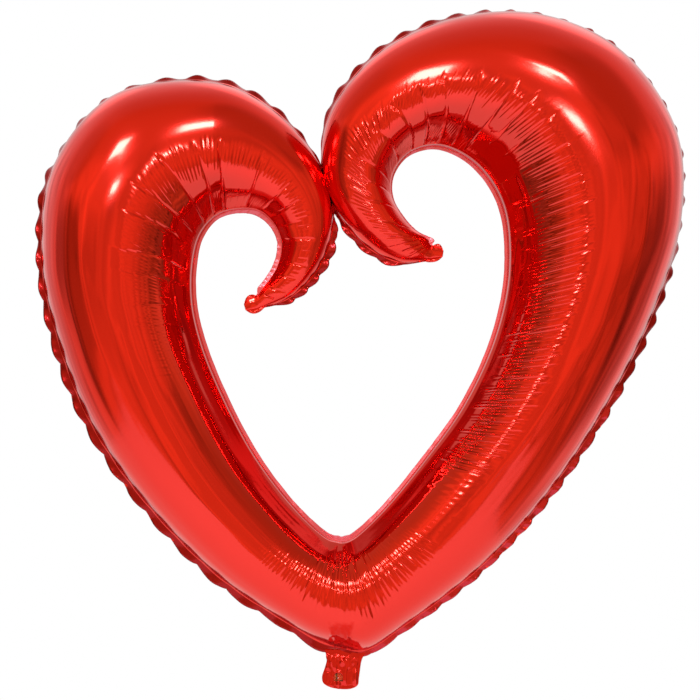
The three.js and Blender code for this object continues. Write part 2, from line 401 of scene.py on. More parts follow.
def fine_crinkles(seed):
    """Fine crinkles: two layers over the crest of the tube, and shorter ones by the inner seam."""
    crest_low = between(PLACES, [(4, .42), (7, .38), (9, .37), (11, .22), (13, .18), (16, .35),
                                 (17.5, .22), (19, .20), (20.5, .24), (22, .25), (23, .14),
                                 (27, .15), (28.5, .30), (30, .39), (32.5, .42), (36, .42)])
    crest_high = between(PLACES, [(4, .62), (7, .54), (9, .52), (11, .44), (13, .36), (16, .60),
                                  (17, .74), (19, .70), (20.5, .74), (22, .55), (23, .46),
                                  (27, .40), (28.5, .43), (30, .48), (31, .52), (32, .64),
                                  (33, .66), (36, .62)])
    depth = between(PLACES, [(3, 0), (4, .4), (7, .8), (10, .8), (11, .5), (12.5, .2),
                             (14, 0), (16, 0), (16.8, 1.1), (21, 1.1), (22.2, .2), (23, 1.2),
                             (24.5, 1.5), (25.6, 1.2), (27.5, .8), (30, .9), (31.2, 1.3),
                             (34, 1.4), (36, .6), (37.5, 0)])
    height = fringe(LENGTH, crest_low, crest_high, 5.2, depth, seed)
    height += fringe(LENGTH, crest_low + .08, crest_high - .02, 8.7, 0.8 * depth, seed + 10)
    seam_low = np.full_like(PLACES, .03)
    seam_high = between(PLACES, [(4, .14), (9, .17), (11, .12), (17, .14), (28, .16), (36, .14)])
    seam_depth = between(PLACES, [(3, 0), (5, .16), (10, .2), (11.5, .06), (14, 0), (17.5, 0),
                                  (18, .2), (20, .2), (20.5, 0), (27.5, 0), (28.5, .18),
                                  (33, .2), (36, .1), (37, 0)])
    height += fringe(LENGTH, seam_low, seam_high, 4.6, seam_depth, seed + 20)
    return height


# Strength along the tube of the shallow waves that draw reflections out into streaks.
STREAKS = between(PLACES, [(4, .05), (9, .06), (11, .3), (12, .5), (16, .45), (17, .1), (21, .1),
                           (23, .5), (26, .45), (28, .15), (36, .05)])


def long_waves(seed):
    """Very shallow waves along the tube, which bend its long reflections."""
    x = LENGTH[:, None] / 190
    y = ANGLES[None, :] * 2.2
    smooth = noise_field(x + 7, y, seed) * 0.9
    smooth += noise_field(LENGTH[:, None] / 70 + 3, ANGLES[None, :] * 3.4, seed + 1) * 0.22
    streaks = noise_field(LENGTH[:, None] / 230 + 11, ANGLES[None, :] * 8, seed + 2)
    smooth += streaks * STREAKS[:, None]
    edge = np.sin(ANGLES)[None, :] ** 0.8
    return smooth * edge * smoothstep(HALF, 8, 45)[:, None]


def valve_print(grid, seed):
    """The valve films pressed against the foil just above the neck."""
    x, z = grid[:, :, 0], grid[:, :, 2]
    patch = window(x, -15, 13, 2) * window(z, 4, 41, 3) * smoothstep(ANGLES, 1.9, 2.2)[None, :]
    crumple = noise_field(x / 4.5 + 40, z / 6 + 40, seed)
    crumple += 0.6 * noise_field(x / 9, z / 3.2, seed + 1)
    return patch * (2.2 * np.abs(crumple) - 0.9)


# Ruffles of the outer flange: their pitch and height along the tube, and both flanges' tilt
# towards the rear, in degrees.
RUFFLE_PITCH = between(PLACES, [(0, 12), (3, 18), (8, 24), (12, 27), (14, 40), (17, 36), (19, 30),
                                (21, 22), (24, 30), (30, 24), (36, 20), (40, 12)])
OUTER_RUFFLE = between(PLACES, [(0, .7), (3, 2.4), (5.6, 2), (6.2, .5), (7, .6), (8, 2.4),
                                (12, 2.6), (17, 2), (19, .5), (21, 1.4), (25, 2.4), (31, 2.6),
                                (33, .5), (34.4, .6), (35.5, 2.6), (37.5, 2.6), (40, .7)])
OUTER_TILT = between(PLACES, [(5, 10), (6.2, 60), (7.2, 60), (8, 50), (9.3, 55), (9.8, 86),
                              (10.8, 86), (11.4, 40), (12, 15), (14, 15), (16, 15), (18, 10),
                              (21, 8), (24, 20), (25.2, 45), (26, 86), (29.4, 86), (30.2, 55),
                              (32, 50), (33, 65), (34.4, 60), (35, 10)])
INNER_TILT = between(PLACES, [(2, 0), (5, 18), (16, 18), (17.5, 50), (20.5, 50), (22, 25),
                              (27, 25), (29, 15), (35, 15), (38, 0)])
# Where the inner flange ripples more, on the hooks, and where the outer flange is crumpled, by
# the left tip and on the lower right.
HOOK = between(PLACES, [(6, 1), (9, 0), (31, 0), (33.5, 1)])
CRUMPLE = between(PLACES, [(4.6, 0), (5, 1), (6.4, 1), (7, 0), (19.3, 0), (20, 1), (23.6, 1),
                           (24.6, 0)])
OUTER_RUFFLE_PHASE = np.concatenate(
    [[0], np.cumsum(np.diff(LENGTH) / ((RUFFLE_PITCH[1:] + RUFFLE_PITCH[:-1]) / 2))])


# ------------------------------------------------------------------ one panel of foil

def seam_lift():
    """Height of the seam above the seam plane, with room for the valve films at the neck."""
    closing = smoothstep(np.abs(OUTER[:, 0]), CHANNEL_FULL, CHANNEL_END)
    lift = CHANNEL * (1 - closing) + HALF_GAP * closing
    return np.where(OUTER[:, 1] > NECK_TOP, HALF_GAP, lift)


# How much the inner half leaves its ellipse for a lens that meets the inner seam at an angle.
LENS = between(PLACES, [(2, 0), (4, .6), (9, .75), (12, .6), (16, .6), (18, .8), (20, .8),
                        (22, .6), (26, .6), (29, .75), (34, .7), (36, .5), (38, 0)])

# The inner flank runs straight below this share across, and ends in a narrow upright wall at
# the inner seam; the wall's width is a part of the tube's half width.
FLANK = 0.15
WALL_WIDTH = 0.03

# Near the neck the film sweeps out into the flange instead of folding there: the sweep's size
# around the tube, and its reach to either side.
NECK_FILLET = 0.42
NECK_REACH = 30
NEAR_NECK = np.exp(-(OUTER[:, 0] / NECK_REACH) ** 2) * (OUTER[:, 1] < NECK_TOP)


def smooth_tube(side, film):
    """The tube's half without wrinkles, as a grid of rows by columns in millimetres."""
    across = -np.cos(ANGLES)[None, :] * HALF[:, None]
    lens = LENS[:, None] * (1 - smoothstep(SHARE, 0.25, 0.62))[None, :]

    def lens_rise(cosine, lens):
        rise = np.sqrt(np.maximum(1 - cosine ** 2, 0))
        return rise * (1 - lens + lens * rise)

    height = lens_rise(np.cos(ANGLES)[None, :], lens)
    start, step = 1 - 2 * FLANK, 0.01
    foot = lens_rise(start, LENS[:, None])
    slope = (foot - lens_rise(start + step, LENS[:, None])) / step
    flank = foot - slope * (2 * FLANK - (1 - np.cos(ANGLES)))[None, :]
    wall = 1 - (1 - np.clip((1 - np.cos(ANGLES)) / WALL_WIDTH, 0, 1)) ** 3
    height = np.where(SHARE[None, :] < FLANK, flank * wall[None, :], height) * SIZES[:, 0:1]
    fillet = np.exp(-((math.pi - ANGLES) / NECK_FILLET) ** 2)
    height = height * (1 - NEAR_NECK[:, None] * fillet[None, :])
    height = height + (seam_lift() + film)[:, None]
    grid = np.empty(across.shape + (3,))
    grid[:, :, 0] = MIDDLE[:, 0:1] + ACROSS[:, 0:1] * across
    grid[:, :, 1] = side * height
    grid[:, :, 2] = MIDDLE[:, 1:2] + ACROSS[:, 1:2] * across
    return grid


def grid_normals(grid, side):
    """Unit normals of a grid, pointing away from the seam plane."""
    down = np.gradient(grid, axis=0)
    over = np.gradient(grid, axis=1)
    normal = np.cross(over, down)
    normal /= np.maximum(np.linalg.norm(normal, axis=2), 1e-9)[:, :, None]
    middle = normal[:, BODY_COLUMNS // 2, 1]
    return normal * np.where(middle * side < 0, -1, 1)[:, None, None]


def flange_grid(side, film, outer):
    """A seam flange from the seam to its edge, as rows by columns, without the seam itself."""
    seam = OUTER if outer else INNER
    width = SIZES[:, 2] if outer else SIZES[:, 1]
    from_end = np.minimum(LENGTH, LENGTH[-1] - LENGTH)
    width = (FLANGE_START + (1 - FLANGE_START) * smoothstep(from_end, *FLANGE_WIDENS)) * width
    knob_width = knob(from_end) - HALF
    bead = side * KNOB_BEAD * (1 - smoothstep(from_end, *KNOB_BEAD_FADE))
    tilt = np.radians(OUTER_TILT if outer else INNER_TILT)
    away = ACROSS if outer else -ACROSS
    lift = seam_lift() + film
    if outer:
        scallop = np.abs(np.sin(math.pi * OUTER_RUFFLE_PHASE)) ** 0.7
        width = width * (1 - 0.36 * np.clip(OUTER_RUFFLE / 2, 0, 1) * (1 - scallop))
        wave = OUTER_RUFFLE * np.sin(2 * math.pi * OUTER_RUFFLE_PHASE + 0.6)
        wave = wave + 0.35 * OUTER_RUFFLE * noise_line(LENGTH, 7, 31)
        wave = wave + 1.1 * (CRUMPLE + NEAR_NECK) * noise_line(LENGTH, 3.4, 33)
    else:
        width = width * (1.3 + 0.05 * noise_line(LENGTH, 25, 41))
        wave = 0.35 * noise_line(LENGTH, 9, 42) + 0.9 * HOOK * noise_line(LENGTH, 3.6, 43)
    width = np.maximum(width, knob_width)
    columns = []
    for k in range(1, FLANGE_COLUMNS + 1):
        t = k / FLANGE_COLUMNS
        out = width * t * np.cos(tilt)
        back = width * t * np.sin(tilt)
        ripple = wave * t ** 1.3
        sideways = out - (ripple + side * lift) * np.sin(tilt)
        point = np.empty((len(PLACES), 3))
        point[:, 0] = seam[:, 0] + away[:, 0] * sideways
        point[:, 1] = side * lift * np.cos(tilt) + back + ripple * np.cos(tilt)
        point[:, 1] += bead * math.sin(math.pi * t)
        point[:, 2] = seam[:, 1] + away[:, 1] * sideways
        columns.append(point)
    return np.stack(columns, axis=1)


# Each panel has wrinkles of its own.
SEEDS = {FRONT: 100, REAR: 500}


def panel_layer(side, film, wrinkled):
    """One face of a panel: inner flange, tube and outer flange as one grid."""
    body = smooth_tube(side, film)
    normals = grid_normals(body, side)
    if wrinkled:
        seed = SEEDS[side]
        along = row_distances(body)
        height = crease_lines(along) + facets(along, seed + 30) + ridges(seed + 40)
        height += fine_crinkles(seed) + long_waves(seed + 50)
        height += valve_print(body, seed + 60)
        body = body + normals * height[:, :, None]
    else:
        depth = INNER_LAYER * smoothstep(np.sin(ANGLES), 0.02, 0.2)[None, :]
        depth = depth * smoothstep(SIZES[:, 0], 3, 14)[:, None]
        body = body - normals * depth[:, :, None]
    inner = flange_grid(side, film, outer=False)[:, ::-1]
    outer = flange_grid(side, film, outer=True)
    return np.concatenate([inner, body, outer], axis=1)


# ------------------------------------------------------------------ meshes from grids

def strip_faces(rows, columns, offset, flip):
    """Quads of a grid of points that starts at an offset."""
    r, c = np.meshgrid(np.arange(rows - 1), np.arange(columns - 1), indexing="ij")
    a = (r * columns + c).ravel() + offset
    quads = np.stack([a, a + 1, a + columns + 1, a + columns], axis=1)
    return quads[:, ::-1] if flip else quads


def shell_mesh(name, top, under, step):
    """A closed thin shell: a fine top grid and an under grid with every step-th row and column."""
    rows, columns = top.shape[:2]
    under = under[::step, ::step]
    low_rows, low_columns = under.shape[:2]
    last_row, last_column = low_rows - 1, low_columns - 1
    start = rows * columns
    faces = strip_faces(rows, columns, 0, False).tolist()
    faces += strip_faces(low_rows, low_columns, start, True).tolist()

    def up(r, c):
        return r * columns + c

    def low(r, c):
        return start + r * low_columns + c

    for j in range(last_row):
        span = range(j * step, (j + 1) * step + 1)
        faces.append([up(r, 0) for r in span] + [low(j + 1, 0), low(j, 0)])
        faces.append([up(r, columns - 1) for r in reversed(span)]
                     + [low(j, last_column), low(j + 1, last_column)])
    for i in range(last_column):
        span = range(i * step, (i + 1) * step + 1)
        faces.append([up(0, c) for c in reversed(span)] + [low(0, i), low(0, i + 1)])
        faces.append([up(rows - 1, c) for c in span] + [low(last_row, i + 1), low(last_row, i)])
    points = np.concatenate([top.reshape(-1, 3), under.reshape(-1, 3)]) * MM
    return mesh_object(name, points, faces)


def mesh_object(name, points, faces):
    """A smooth-shaded object in the scene, with its faces pointing out."""
    mesh = bpy.data.meshes.new(name)
    mesh.from_pydata(points.tolist(), [], faces)
    mesh.update()
    if signed_volume(mesh) < 0:
        mesh.flip_normals()
    mesh.polygons.foreach_set("use_smooth", [True] * len(mesh.polygons))
    piece = bpy.data.objects.new(name, mesh)
    bpy.context.scene.collection.objects.link(piece)
    return piece


def signed_volume(mesh):
    """Enclosed volume, negative where the faces point inwards."""
    mesh.calc_loop_triangles()
    points = np.empty(len(mesh.vertices) * 3)
    mesh.vertices.foreach_get("co", points)
    corners = np.empty(len(mesh.loop_triangles) * 3, dtype=np.int32)
    mesh.loop_triangles.foreach_get("vertices", corners)
    a, b, c = points.reshape(-1, 3)[corners.reshape(-1, 3)].transpose(1, 0, 2)
    return float(np.einsum("ij,ij->i", a, np.cross(b, c)).sum()) / 6


# ------------------------------------------------------------------ materials

FOIL_RED = (0.79, 0.042, 0.033, 1)
# The welded outer flange's darker red is painted shade.
WELD_SHADE_RED = (0.34, 0.012, 0.014, 1)
TAIL_RED = (0.68, 0.030, 0.026, 1)
# The inner weld's pale pink is a painted highlight.
SEAM_HIGHLIGHT_PINK = (0.74, 0.135, 0.19, 1)
# The crumpled outer flange's darker red is painted shade.
CRUMPLED_SHADE_RED = (0.52, 0.030, 0.045, 1)
# The darker red beside the inner seam is painted shade, which dims the bright reflection there.
FLANK_SHADE_RED = (0.64, 0.046, 0.037, 1)
# The deeper red over the valve's imprint is painted shade for the crinkled imprint's dark look.
PRINT_SHADE_RED = (0.66, 0.014, 0.008, 1)

# The valve's film: its two colours, the density of its clouds, its roughness and its opacity.
VALVE_DEEP = (0.70, 0.40, 0.16, 1)
VALVE_PALE = (0.85, 0.58, 0.30, 1)
VALVE_CLOUDS = 90
VALVE_ROUGHNESS = 0.32
VALVE_ALPHA = 0.06

# The clear skin of the foil: weight, roughness and index of refraction.
COAT = (0.14, 0.06, 1.5)

# Density and spread of the patches of roughness, and density and depth of the grain.
PATCH_SCALE = 14
PATCH_SPREAD = 0.25
GRAIN_SCALE = 260
GRAIN_DEPTH = 0.001

# Roughness of the taut film beside the inner seam, as a fraction of the rest of the foil's.
FLANK_ROUGHNESS = 0.3

# The painted shade over the valve's imprint in the foil: middle and half size along X and Z, in
# metres, how dense its ragged edge is, and the sum of distance and noise at which it starts and is
# full.
PRINT_BOX = (("X", -0.001, 0.0135), ("Z", 0.024, 0.019))
PRINT_RAGGED = 130
PRINT_START, PRINT_FULL = 1.7, 1.3


def node(tree, kind, **settings):
    """A new shader node with its settings."""
    made = tree.nodes.new(kind)
    for key, value in settings.items():
        setattr(made, key, value)
    return made


def combine(tree, operation, first, second=0.0):
    """Result of a math node on two sockets or numbers."""
    made = node(tree, "ShaderNodeMath", operation=operation)
    for socket, value in zip(made.inputs, (first, second)):
        if isinstance(value, float):
            socket.default_value = value
        else:
            tree.links.new(value, socket)
    return made.outputs["Value"]


def remap(tree, value, source, target=(0, 1), kind="LINEAR"):
    """A value mapped from a source range to a target range."""
    made = node(tree, "ShaderNodeMapRange", interpolation_type=kind)
    for name, number in zip(("From Min", "From Max", "To Min", "To Max"), source + target):
        made.inputs[name].default_value = number
    tree.links.new(value, made.inputs["Value"])
    return made.outputs["Result"]


def noise(tree, vector, scale, detail=2):
    """Factor of a noise texture."""
    made = node(tree, "ShaderNodeTexNoise")
    made.inputs["Scale"].default_value = scale
    made.inputs["Detail"].default_value = detail
    tree.links.new(vector, made.inputs["Vector"])
    return made.outputs["Fac"]


def mix_colour(tree, factor, first, second):
    """Mix from a first colour, or a socket that has it, to a second colour."""
    made = node(tree, "ShaderNodeMixRGB")
    tree.links.new(factor, made.inputs["Fac"])
    if isinstance(first, tuple):
        made.inputs["Color1"].default_value = first
    else:
        tree.links.new(first, made.inputs["Color1"])
    made.inputs["Color2"].default_value = second
    return made.outputs["Color"]


def print_shade_mask(tree, place):
    """1 where the valve films cling behind the foil above the neck, with a ragged edge; there the
    foil's colour is darkened as painted shade.
    """
    split = node(tree, "ShaderNodeSeparateXYZ")
    tree.links.new(place, split.inputs["Vector"])
    reach = []
    for axis, middle, half in PRINT_BOX:
        offset = combine(tree, "SUBTRACT", split.outputs[axis], middle)
        reach.append(combine(tree, "DIVIDE", combine(tree, "ABSOLUTE", offset), half))
    ragged = noise(tree, place, PRINT_RAGGED)
    total = combine(tree, "ADD", combine(tree, "MAXIMUM", *reach), ragged)
    return remap(tree, total, (PRINT_START, PRINT_FULL))


def print_and_flank_shade(tree, place, colour, rough):
    """Colour and roughness of the foil, with painted shade over the valve's imprint and beside the
    inner seam, where the taut film is also smoother.
    """
    tint = mix_colour(tree, print_shade_mask(tree, place), colour, PRINT_SHADE_RED)
    flank = node(tree, "ShaderNodeAttribute", attribute_name="inner_flank").outputs["Fac"]
    flank_effect = remap(tree, flank, (0, 1), (1, FLANK_ROUGHNESS))
    return mix_colour(tree, flank, tint, FLANK_SHADE_RED), combine(tree, "MULTIPLY", rough, flank_effect)


def foil_material(name, colour, roughness, grain, metallic=1.0, shaded_print_and_flank=False):
    """Metallised film with a clear skin and a faint grain.

    With the last flag set, the foil also has painted shade over the valve's imprint and beside the
    inner seam, where its film is smoother too.
    """
    material = bpy.data.materials.new(name)
    material.use_nodes = True
    tree = material.node_tree
    shader = tree.nodes["Principled BSDF"]
    shader.inputs["Base Color"].default_value = colour
    shader.inputs["Metallic"].default_value = metallic
    for socket, value in zip(("Coat Weight", "Coat Roughness", "Coat IOR"), COAT):
        shader.inputs[socket].default_value = value
    place = node(tree, "ShaderNodeTexCoord").outputs["Object"]
    range_of_roughness = (roughness * (1 - PATCH_SPREAD), roughness * (1 + PATCH_SPREAD))
    rough = remap(tree, noise(tree, place, PATCH_SCALE, detail=3), (0, 1), range_of_roughness)
    # Painted shade over the valve's imprint and beside the inner seam, and smoother film there.
    if shaded_print_and_flank:
        shaded_colour, rough = print_and_flank_shade(tree, place, colour, rough)
        tree.links.new(shaded_colour, shader.inputs["Base Color"])
    tree.links.new(rough, shader.inputs["Roughness"])
    bump = node(tree, "ShaderNodeBump")
    bump.inputs["Strength"].default_value = grain
    bump.inputs["Distance"].default_value = GRAIN_DEPTH
    tree.links.new(noise(tree, place, GRAIN_SCALE), bump.inputs["Height"])
    tree.links.new(bump.outputs["Normal"], shader.inputs["Normal"])
    return material


def valve_material():
    """Milky polyethylene film with faint cloudiness."""
    material = bpy.data.materials.new("valve_polyethylene")
    material.use_nodes = True
    tree = material.node_tree
    shader = tree.nodes["Principled BSDF"]
    shader.inputs["Roughness"].default_value = VALVE_ROUGHNESS
    shader.inputs["Alpha"].default_value = VALVE_ALPHA
    place = node(tree, "ShaderNodeTexCoord").outputs["Object"]
    ramp = node(tree, "ShaderNodeValToRGB")
    ramp.color_ramp.elements[0].color = VALVE_DEEP
    ramp.color_ramp.elements[1].color = VALVE_PALE
    tree.links.new(noise(tree, place, VALVE_CLOUDS), ramp.inputs["Fac"])
    tree.links.new(ramp.outputs["Color"], shader.inputs["Base Color"])
    return material


TAIL = foil_material("tail_red_foil", TAIL_RED, 0.16, 0.08)
FOIL = foil_material("red_foil", FOIL_RED, 0.135, 0.02, shaded_print_and_flank=True)
# The welded and crumpled flanges carry painted shade in their colour, and the inner weld a painted
# highlight.
WELD_SHADED = foil_material("welded_foil_painted_shade", WELD_SHADE_RED, 0.28, 0.12)
CRUMPLED_SHADED = foil_material("crumpled_weld_painted_shade", CRUMPLED_SHADE_RED, 0.20, 0.15)
INNER_WELD_HIGHLIGHT = foil_material("inner_weld_painted_highlight", SEAM_HIGHLIGHT_PINK, 0.26, 0.12, metallic=0.45)
VALVE = valve_material()


# ------------------------------------------------------------------ foil panels

# A panel's materials, in the order of their slots.
PANEL_MATERIALS = (FOIL, WELD_SHADED, INNER_WELD_HIGHLIGHT, CRUMPLED_SHADED)
WELD_SLOT, INNER_WELD_SLOT, CRUMPLED_SLOT = 1, 2, 3

# Where the film beside the inner seam is taut and smoother, and darker by painted shade: along
# the tube, and the shares across over which that fades.
FLANK_ROWS = between(PLACES, [(7, 0), (9, 1), (31, 1), (33, 0)])
FLANK_FADE = (0.24, 0.38)

# The hidden inner layer has every second row and column.
UNDER_STEP = 2

# Rows of the knobs, whose flanges keep the material of the tube.
KNOB_ROWS = np.minimum(LENGTH, LENGTH[-1] - LENGTH) < KNOB_LENGTH


def sharpen_seams(mesh, rows, columns):
    """Sharp fold where each flange leaves the tube, except near the neck."""
    ends = np.empty(len(mesh.edges) * 2, dtype=np.int32)
    mesh.edges.foreach_get("vertices", ends)
    ends = ends.reshape(-1, 2)
    on_top = (ends < rows * columns).all(axis=1)
    column = ends % columns
    same = column[:, 0] == column[:, 1]
    fold = np.isin(column[:, 0], (FLANGE_COLUMNS, columns - 1 - FLANGE_COLUMNS))
    away = NEAR_NECK[np.minimum(ends[:, 0] // columns, rows - 1)] < 0.3
    sharp = mesh.attributes.new("sharp_edge", "BOOLEAN", "EDGE")
    sharp.data.foreach_set("value", on_top & same & fold & away)


def paint_panel(piece, rows, columns):
    """Material slots of a panel, with painted shade on the outer flanges and a painted highlight on
    the inner flange, and the attribute that marks its inner flank.
    """
    for material in PANEL_MATERIALS:
        piece.data.materials.append(material)
    across = columns - 1
    column = np.tile(np.arange(across), rows - 1)
    row = np.repeat(np.arange(rows - 1), across)
    inner = (column < FLANGE_COLUMNS) & ~KNOB_ROWS[row]
    outer = (column >= across - FLANGE_COLUMNS) & ~KNOB_ROWS[row]
    slots = np.zeros(len(piece.data.polygons), dtype=np.int32)
    slots[:len(row)][inner] = INNER_WELD_SLOT
    # Outer flanges take the welded foil's painted shade, and the crumpled rows a painted shade of
    # their own.
    slots[:len(row)][outer] = np.where(CRUMPLE[row] < 0.5, WELD_SLOT, CRUMPLED_SLOT)[outer]
    piece.data.polygons.foreach_set("material_index", slots)
    share = np.concatenate([np.zeros(FLANGE_COLUMNS), SHARE, np.ones(FLANGE_COLUMNS)])
    flank_effect = np.zeros(len(piece.data.vertices))
    # The inner flank's mask: it darkens the colour there as painted shade and makes the film
    # smoother.
    flank_effect[:rows * columns] = np.outer(FLANK_ROWS, 1 - smoothstep(share, *FLANK_FADE)).ravel()
    piece.data.attributes.new("inner_flank", "FLOAT", "POINT").data.foreach_set("value", flank_effect)


def foil_panel(side):
    """One foil panel as a closed shell, with its materials and its body."""
    name = f"{SIDE_NAMES[side]}_foil"
    top = panel_layer(side, FILM, wrinkled=True)
    under = panel_layer(side, 0, wrinkled=False)
    piece = shell_mesh(name, top, under, UNDER_STEP)
    rows, columns = top.shape[:2]
    paint_panel(piece, rows, columns)
    sharpen_seams(piece.data, rows, columns)
    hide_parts(f"{SIDE_NAMES[side]}_foil_panel")
    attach(piece, "envelope")


for panel_side in (FRONT, REAR):
    foil_panel(panel_side)

# ------------------------------------------------------------------ tail films

# The tail's outline seen from the front, in millimetres (X, Z).
TAIL_OUTLINE = [(-27, 6), (-19.5, 0), (-20, -8), (-22.5, -17), (-26, -28.5), (-24.5, -36),
                (-17.5, -41), (-3, -44.2), (12.5, -43.6), (20.5, -39), (22, -30), (23.5, -19),
                (25, -9), (27.5, -2), (31, 4), (0, 7)]

# The arch-shaped hole for the pump: the arc's middle and radius, and the length of its feet.
HOLE_X, HOLE_Z, HOLE_RADIUS, HOLE_FOOT = -5, -29, 6, 5

# Each film is rings of points around this middle, from the hole, or from a small core where there
# is none, to the outline.
HOLE_MIDDLE = np.array([-5.0, -30.0])
TAIL_RAYS = 144
TAIL_RINGS = 26
OUTLINE_STEPS = 720
CORE_RADIUS = 0.4

# Thickness of each film, its least distance from the seam plane, which clears the valve, and how
# much more it puffs out and is pleated.
TAIL_FILM = FILM * 1.6
OVER_VALVE = 0.9
TAIL_PUFF = 1.5
TAIL_PLEAT = 1.4

# The tail is flat again outside this X, and towards its foot between these heights.
TAIL_FLAT_X = 18
TAIL_FOOT = (-44, -38)


def closed_curve(points, count):
    """Smooth closed curve through points, as count points at even steps."""
    points = np.array(points, dtype=float)
    looped = np.vstack([points[-2:], points, points[:3]])
    places = 2 + np.linspace(0, len(points), count, endpoint=False)
    return catmull_rom(looped, places, 0.5)


def radii_towards(outline, angles):
    """Distance from the hole's middle to an outline in each direction."""
    rel = outline - HOLE_MIDDLE
    bearing = np.arctan2(rel[:, 1], rel[:, 0])
    order = np.argsort(bearing)
    reach = np.linalg.norm(rel, axis=1)[order]
    return np.interp(angles, bearing[order], reach, period=2 * math.pi)


def arch_outline():
    """Outline of the inflation hole: an arch on straight feet."""
    sweep = np.linspace(0, math.pi, 60)
    arc = np.stack([HOLE_X + HOLE_RADIUS * np.cos(sweep), HOLE_Z + HOLE_RADIUS * np.sin(sweep)], 1)
    down = np.linspace(HOLE_Z, HOLE_Z - HOLE_FOOT, 20)
    left = np.stack([np.full(20, HOLE_X - HOLE_RADIUS), down], 1)
    foot_x = np.linspace(HOLE_X - HOLE_RADIUS, HOLE_X + HOLE_RADIUS, 40)
    foot = np.stack([foot_x, np.full(40, HOLE_Z - HOLE_FOOT)], 1)
    right = np.stack([np.full(20, HOLE_X + HOLE_RADIUS), down[::-1]], 1)
    return np.vstack([arc, left, foot, right])


def tail_height(x, z, side):
    """How far the crumpled film stands off the seam plane."""
    edge = window(x, -TAIL_FLAT_X, TAIL_FLAT_X, 6) * smoothstep(z, *TAIL_FOOT)
    puff = OVER_VALVE + TAIL_PUFF * edge * smoothstep(-z, -2, 10)
    pleats = noise_field(x / 4.5 + 60, z / 24 + 60, 71) + 0.4 * noise_field(x / 9, z / 8, 72)
    sharp = 1.0 - 2.0 * np.abs(pleats)
    pleated = side * puff + TAIL_PLEAT * sharp * smoothstep(-z, -3, 4)
    return side * np.maximum(side * pleated, OVER_VALVE)


def tail_film(side):
    """One film of the tail as a closed shell around the inflation hole or a small core."""
    angles = np.linspace(-math.pi, math.pi, TAIL_RAYS, endpoint=False)
    far = radii_towards(closed_curve(TAIL_OUTLINE, OUTLINE_STEPS), angles)
    core = np.full(TAIL_RAYS, CORE_RADIUS)
    near = radii_towards(arch_outline(), angles) if side == FRONT else core
    rings = []
    for k in range(TAIL_RINGS + 1):
        radius = near + (far - near) * (k / TAIL_RINGS)
        x = HOLE_MIDDLE[0] + radius * np.cos(angles)
        z = HOLE_MIDDLE[1] + radius * np.sin(angles)
        rings.append(np.stack([x, tail_height(x, z, side), z], axis=1))
    top = np.array(rings)
    under = top + np.array([0, -side * TAIL_FILM, 0])
    count = TAIL_RAYS * (TAIL_RINGS + 1)
    faces = []
    for k in range(TAIL_RINGS):
        for i in range(TAIL_RAYS):
            j = (i + 1) % TAIL_RAYS
            a, b = k * TAIL_RAYS + i, k * TAIL_RAYS + j
            faces.append([a, b, b + TAIL_RAYS, a + TAIL_RAYS])
            faces.append([a + count, a + TAIL_RAYS + count, b + TAIL_RAYS + count, b + count])
    for ring, turned in ((0, True), (TAIL_RINGS, False)):
        for i in range(TAIL_RAYS):
            a, b = ring * TAIL_RAYS + i, ring * TAIL_RAYS + (i + 1) % TAIL_RAYS
            wall = [a, b, b + count, a + count]
            faces.append(wall[::-1] if turned else wall)
    points = np.concatenate([top.reshape(-1, 3), under.reshape(-1, 3)]) * MM
    piece = mesh_object(f"tail_{SIDE_NAMES[side]}", points, faces)
    piece.data.materials.append(TAIL)
    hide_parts(f"tail_{SIDE_NAMES[side]}_film")
    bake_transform(piece)


for tail_side in (FRONT, REAR):
    tail_film(tail_side)

# ------------------------------------------------------------------ valve films

VALVE_NODES = ("valve_front_film", "valve_rear_film", "valve_inlet_front", "valve_inlet_rear",
               "valve_neck_front", "valve_neck_rear")

for valve_node in VALVE_NODES:
    valve_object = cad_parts[valve_node]
    valve_object.data.materials.clear()
    valve_object.data.materials.append(VALVE)

# ------------------------------------------------------------------ studio

# The floor: height, left and right edges, depth to front and rear, and colour.
FLOOR_Z = -0.95
FLOOR_LEFT, FLOOR_RIGHT, FLOOR_HALF = -2.3, 1.3, 2.3
FLOOR_PALE = (0.76, 0.82, 0.88, 1)

# The camera: what it aims at, how far in front of the seam plane and how high it stands, and the
# width it frames at what it aims at.
VIEW_CENTRE = Vector((0.0104, 0.0, 0.3965))
VIEW_DISTANCE = 5.0
VIEW_HEIGHT = 0.40
FRAME_WIDTH = 0.910

# The softboxes aim at the lobes from one distance: azimuth and elevation from there, size and
# power of each.
LOBES = Vector((0, -0.1, 0.7))
SOFTBOX_DISTANCE = 3.5
SOFTBOXES = {
    "left_softbox": (-31, 31.5, (0.75, 0.62), 36),
    "right_softbox": (16, 36.5, (0.80, 0.46), 32),
    "low_left_softbox": (-21.8, 13.3, (0.36, 0.24), 9),
    "low_right_softbox": (10.2, 10.9, (0.36, 0.24), 9),
}

# The lamp for the floor: its power, and its width in degrees.
FLOOR_LAMP_POWER = 1.1
FLOOR_LAMP_WIDTH = 60


def floor():
    """Plain pale floor under the balloon."""
    corners = [(FLOOR_LEFT, -FLOOR_HALF, FLOOR_Z), (FLOOR_RIGHT, -FLOOR_HALF, FLOOR_Z),
               (FLOOR_RIGHT, FLOOR_HALF, FLOOR_Z), (FLOOR_LEFT, FLOOR_HALF, FLOOR_Z)]
    mesh = bpy.data.meshes.new("studio_floor")
    mesh.from_pydata(corners, [], [(0, 1, 2, 3)])
    sheet = bpy.data.objects.new("studio_floor", mesh)
    bpy.context.scene.collection.objects.link(sheet)
    material = bpy.data.materials.new("pale_floor")
    material.use_nodes = True
    shader = material.node_tree.nodes["Principled BSDF"]
    shader.inputs["Base Color"].default_value = FLOOR_PALE
    shader.inputs["Roughness"].default_value = 0.6
    mesh.materials.append(material)


